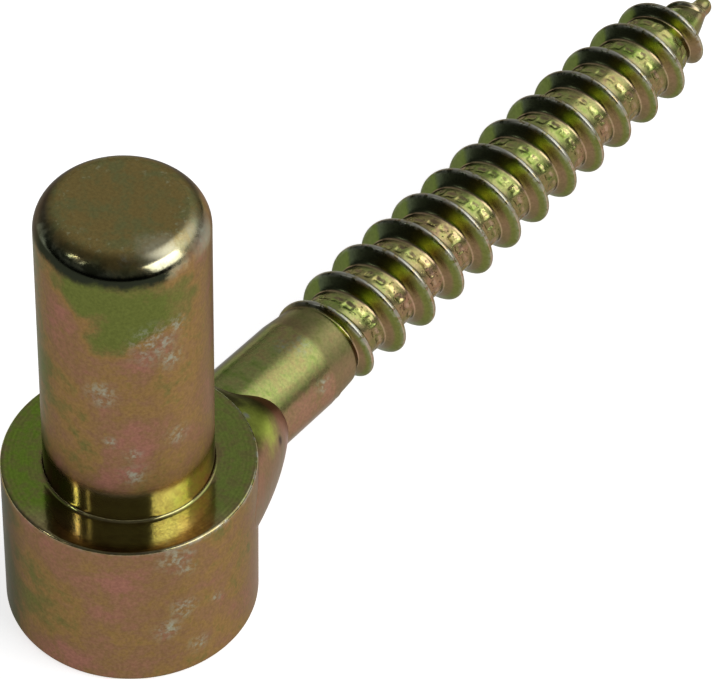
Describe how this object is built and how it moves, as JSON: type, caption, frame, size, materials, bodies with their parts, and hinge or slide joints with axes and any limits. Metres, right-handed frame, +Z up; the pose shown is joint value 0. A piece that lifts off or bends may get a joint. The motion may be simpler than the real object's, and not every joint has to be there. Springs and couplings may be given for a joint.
{
  "type": "gate hinge pin",
  "caption": "Screw-in gate hinge pin: a round-edged pin on a collar, welded at right angles to a coarse wood screw with a gimlet point.",
  "frame": {"origin": "on the pin's axis, at the collar's top face where the gate's eye sits", "axes": "+Z up the pin, +Y along the screw away from the collar, +X to the right of the screw"},
  "size_m": [0.024, 0.104, 0.0508],
  "materials": {
    "plated_pin": "turned steel, zinc plated with a yellow iridescent passivation",
    "plated_screw": "rolled steel, zinc plated with a yellow iridescent passivation, worn silver on the crests",
    "plated_weld": "smooth weld metal, plated over with the rest"
  },
  "bodies": {
    "root": {"pin_and_collar": "plated_pin", "wood_screw": "plated_screw", "weld_bead": "plated_weld"}
  },
  "joints": []
}
